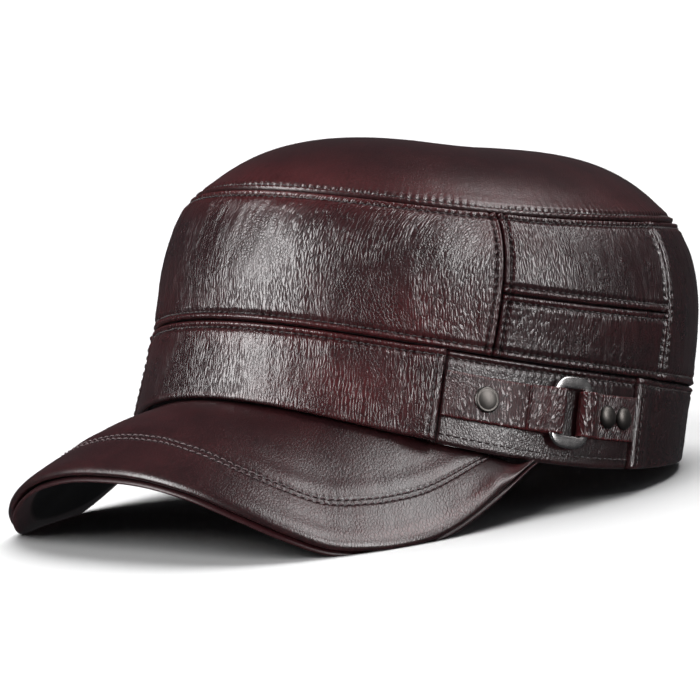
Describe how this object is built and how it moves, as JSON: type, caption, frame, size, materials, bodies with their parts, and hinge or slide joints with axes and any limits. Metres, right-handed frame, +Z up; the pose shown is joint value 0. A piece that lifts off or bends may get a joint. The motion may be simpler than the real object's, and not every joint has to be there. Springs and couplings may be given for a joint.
{
  "type": "leather cap",
  "caption": "Leather cap with a flat-topped panelled crown, a stitched band with side straps and rings, and a curved peak.",
  "frame": {"origin": "centre of the bounding box on the surface that the cap rests on", "axes": "+Z up, -Y towards the peak, +X towards the wearer's left; the cap lies at rest on the peak's wings and the back of the hem"},
  "size_m": [0.1802, 0.2664, 0.124],
  "materials": {
    "burgundy_leather": "semi-gloss burnished",
    "dark_leather": "semi-gloss burnished",
    "black_leather": "matt",
    "gunmetal": "polished dark",
    "rivet_nickel": "satin"
  },
  "bodies": {
    "root": {"crown_top": "burgundy_leather", "front_panel": "burgundy_leather", "back_panel": "dark_leather", "front_band": "burgundy_leather", "back_band": "dark_leather", "peak_top": "burgundy_leather", "peak_underside": "black_leather", "side_panel_upper_left": "dark_leather", "side_panel_lower_left": "dark_leather", "side_band_left": "dark_leather", "strap_left": "burgundy_leather", "strap_tab_left": "burgundy_leather", "ring_left": "gunmetal", "strap_rivet_left": "rivet_nickel", "tab_rivet_front_left": "rivet_nickel", "tab_rivet_back_left": "rivet_nickel", "side_panel_upper_right": "dark_leather", "side_panel_lower_right": "dark_leather", "side_band_right": "dark_leather", "strap_right": "burgundy_leather", "strap_tab_right": "burgundy_leather", "ring_right": "gunmetal", "strap_rivet_right": "rivet_nickel", "tab_rivet_front_right": "rivet_nickel", "tab_rivet_back_right": "rivet_nickel"}
  },
  "joints": []
}
